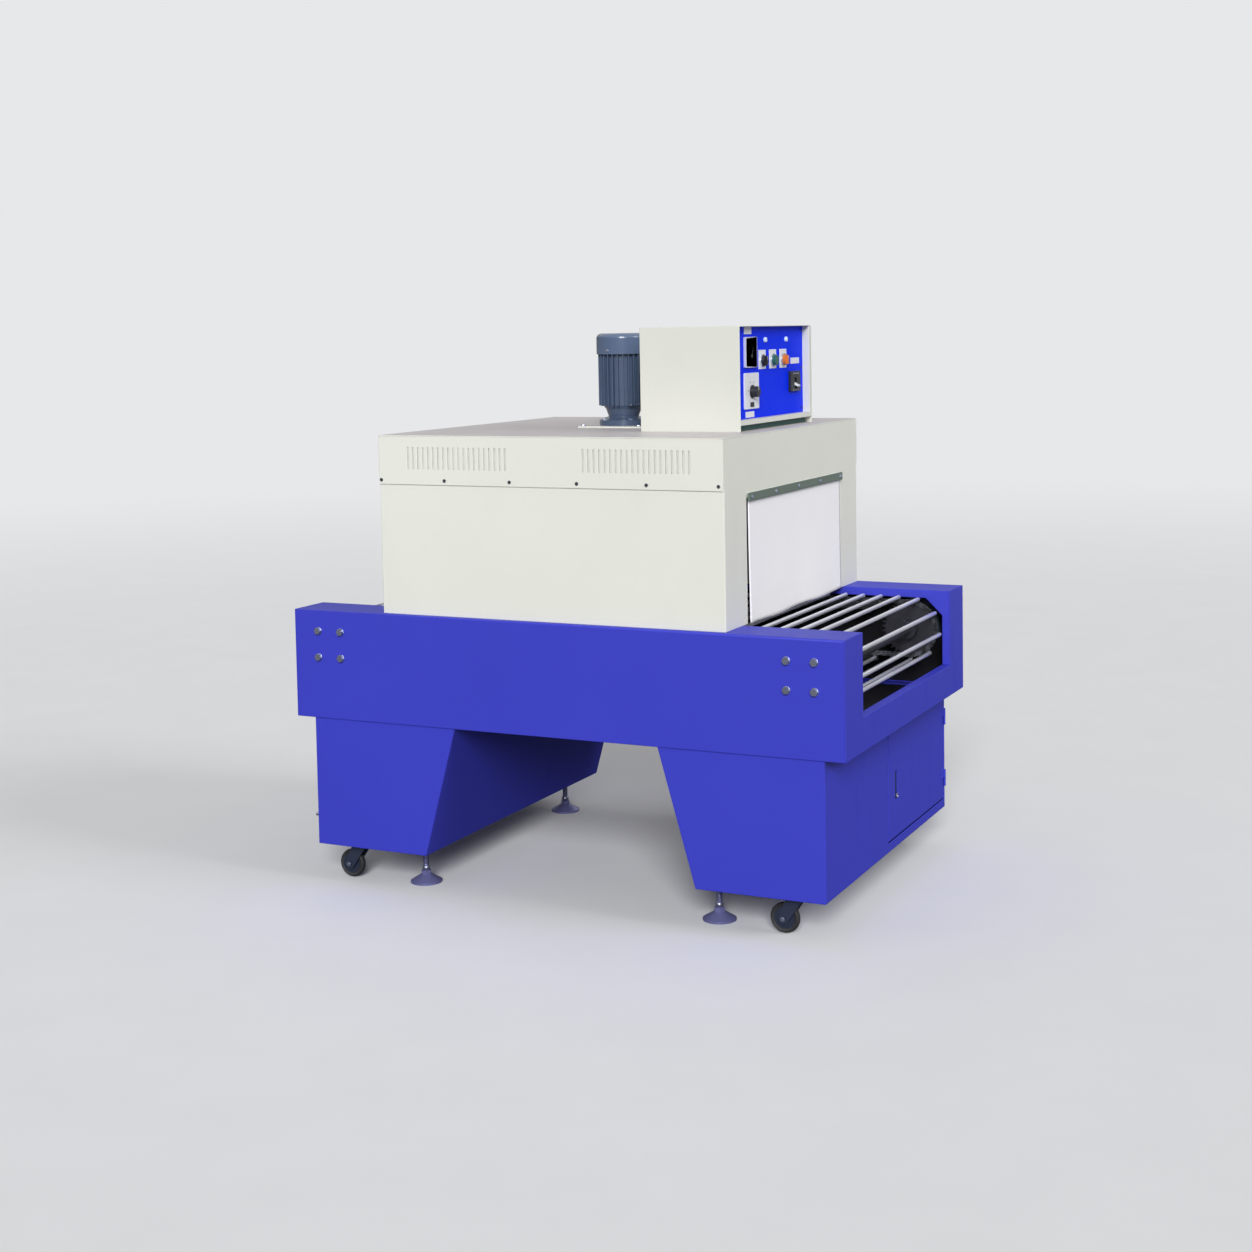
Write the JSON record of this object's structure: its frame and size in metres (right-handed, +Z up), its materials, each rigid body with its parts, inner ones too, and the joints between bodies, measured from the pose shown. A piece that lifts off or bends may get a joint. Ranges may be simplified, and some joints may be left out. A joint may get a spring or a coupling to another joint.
{
  "type": "heat shrink tunnel",
  "caption": "Heat shrink tunnel: roller conveyor in a sheet steel frame on two tapered pedestals, with an insulated curtained tunnel, roof fan motor and control box.",
  "frame": {"origin": "on the floor, under the middle of the conveyor frame", "axes": "+X along the conveyor to the end with the control panel and cabinet door, +Y across it to the far side, +Z up"},
  "size_m": [1.54, 1.017, 1.46],
  "materials": {
    "frame_blue": "semi-gloss powder coat",
    "tunnel_cream": "satin powder coat",
    "panel_blue": "satin enamel",
    "motor_slate": "semi-gloss enamel",
    "roller_steel": "bright zinc",
    "chain_steel": "oiled",
    "shaft_steel": "machined, oiled",
    "rail_steel": "dark enamel",
    "bearing_iron": "enamelled casting",
    "bolt_zinc": "bright zinc",
    "lock_black": "satin",
    "foot_steel": "zinc plated, blue tint",
    "caster_zinc": "zinc plated",
    "tyre_black": "matte rubber",
    "curtain_white": "coated heat-proof cloth",
    "strip_green": "satin",
    "controller_grey": "satin",
    "speed_white": "satin",
    "control_black": "satin",
    "button_green": "satin",
    "knob_orange": "satin",
    "bezel_chrome": "bright",
    "lever_white": "gloss",
    "lamp_white": "clear lens"
  },
  "bodies": {
    "machine": {"side_beam_near": "frame_blue", "side_beam_far": "frame_blue", "end_plate_right": "frame_blue", "end_plate_left": "frame_blue", "bottom_pan": "frame_blue", "cabinet_sides": "frame_blue", "cabinet_inner_panel": "frame_blue", "cabinet_floor": "frame_blue", "cabinet_end_panel": "frame_blue", "door_hinges": "frame_blue", "pedestal_sides": "frame_blue", "pedestal_inner_panel": "frame_blue", "pedestal_floor": "frame_blue", "pedestal_outer_panel": "frame_blue", "tunnel_walls": "tunnel_cream", "tunnel_ceiling": "tunnel_cream", "end_frame_right": "tunnel_cream", "end_frame_left": "tunnel_cream", "hood_sides": "tunnel_cream", "hood_roof": "tunnel_cream", "motor_plate": "tunnel_cream", "control_box": "tunnel_cream", "control_panel": "panel_blue", "motor_body": "motor_slate", "fan_cowl": "motor_slate", "conveyor_rollers": "roller_steel", "chain_near": "chain_steel", "chain_far": "chain_steel", "drive_shaft": "shaft_steel", "idler_shaft": "shaft_steel", "chain_rails": "rail_steel", "shaft_bearings": "bearing_iron", "bearing_bolts": "bolt_zinc", "earth_stud": "bolt_zinc", "levelling_feet": "foot_steel", "caster_plates": "caster_zinc", "curtain_right": "curtain_white", "curtain_left": "curtain_white", "curtain_strips": "strip_green", "temperature_controller": "controller_grey", "speed_controller": "speed_white", "breaker": "control_black", "switch_bezels": "bezel_chrome", "pilot_lamps": "lamp_white"},
    "door": {"cabinet_door": "frame_blue", "door_lock": "lock_black"},
    "speed_dial": {"speed_knob": "control_black"},
    "fan_selector": {"fan_switch": "control_black"},
    "start_push": {"start_button": "button_green"},
    "heater_selector": {"heater_switch": "knob_orange"},
    "breaker_handle": {"breaker_lever": "lever_white"},
    "fork_right_near": {"caster_fork_right_near": "caster_zinc"},
    "wheel_right_near": {"caster_wheel_right_near": "tyre_black"},
    "fork_right_far": {"caster_fork_right_far": "caster_zinc"},
    "wheel_right_far": {"caster_wheel_right_far": "tyre_black"},
    "fork_left_near": {"caster_fork_left_near": "caster_zinc"},
    "wheel_left_near": {"caster_wheel_left_near": "tyre_black"},
    "fork_left_far": {"caster_fork_left_far": "caster_zinc"},
    "wheel_left_far": {"caster_wheel_left_far": "tyre_black"}
  },
  "joints": [
    {"name": "door_hinge", "type": "hinge", "parent": "machine", "child": "door", "pos_m": [0.7194, 0.4855, 0.27], "axis": [0, 0, 1], "range_deg": [0, 110]},
    {"name": "swivel_right_near", "type": "hinge", "parent": "machine", "child": "fork_right_near", "pos_m": [0.62, -0.438, 0.09], "axis": [0, 0, 1], "continuous": true},
    {"name": "roll_right_near", "type": "hinge", "parent": "fork_right_near", "child": "wheel_right_near", "pos_m": [0.592, -0.438, 0.0395], "axis": [0, 1, 0], "continuous": true},
    {"name": "swivel_right_far", "type": "hinge", "parent": "machine", "child": "fork_right_far", "pos_m": [0.62, 0.438, 0.09], "axis": [0, 0, 1], "continuous": true},
    {"name": "roll_right_far", "type": "hinge", "parent": "fork_right_far", "child": "wheel_right_far", "pos_m": [0.592, 0.438, 0.0395], "axis": [0, 1, 0], "continuous": true},
    {"name": "swivel_left_near", "type": "hinge", "parent": "machine", "child": "fork_left_near", "pos_m": [-0.62, -0.438, 0.09], "axis": [0, 0, 1], "continuous": true},
    {"name": "roll_left_near", "type": "hinge", "parent": "fork_left_near", "child": "wheel_left_near", "pos_m": [-0.648, -0.438, 0.0395], "axis": [0, 1, 0], "continuous": true},
    {"name": "swivel_left_far", "type": "hinge", "parent": "machine", "child": "fork_left_far", "pos_m": [-0.62, 0.438, 0.09], "axis": [0, 0, 1], "continuous": true},
    {"name": "roll_left_far", "type": "hinge", "parent": "fork_left_far", "child": "wheel_left_far", "pos_m": [-0.648, 0.438, 0.0395], "axis": [0, 1, 0], "continuous": true},
    {"name": "speed_turn", "type": "hinge", "parent": "machine", "child": "speed_dial", "pos_m": [0.395, -0.1285, 1.2925], "axis": [1, 0, 0], "range_deg": [-140, 140]},
    {"name": "fan_turn", "type": "hinge", "parent": "machine", "child": "fan_selector", "pos_m": [0.395, -0.048, 1.3695], "axis": [1, 0, 0], "range_deg": [-45, 45]},
    {"name": "start_press", "type": "slide", "parent": "machine", "child": "start_push", "axis": [-1, 0, 0], "range_m": [0, 0.004], "stiffness_N_per_m": 400, "springref_m": -0.001},
    {"name": "heater_turn", "type": "hinge", "parent": "machine", "child": "heater_selector", "pos_m": [0.395, 0.102, 1.3695], "axis": [1, 0, 0], "range_deg": [-45, 45]},
    {"name": "breaker_flip", "type": "hinge", "parent": "machine", "child": "breaker_handle", "pos_m": [0.4, 0.178, 1.303], "axis": [0, -1, 0], "range_deg": [0, 50]}
  ]
}
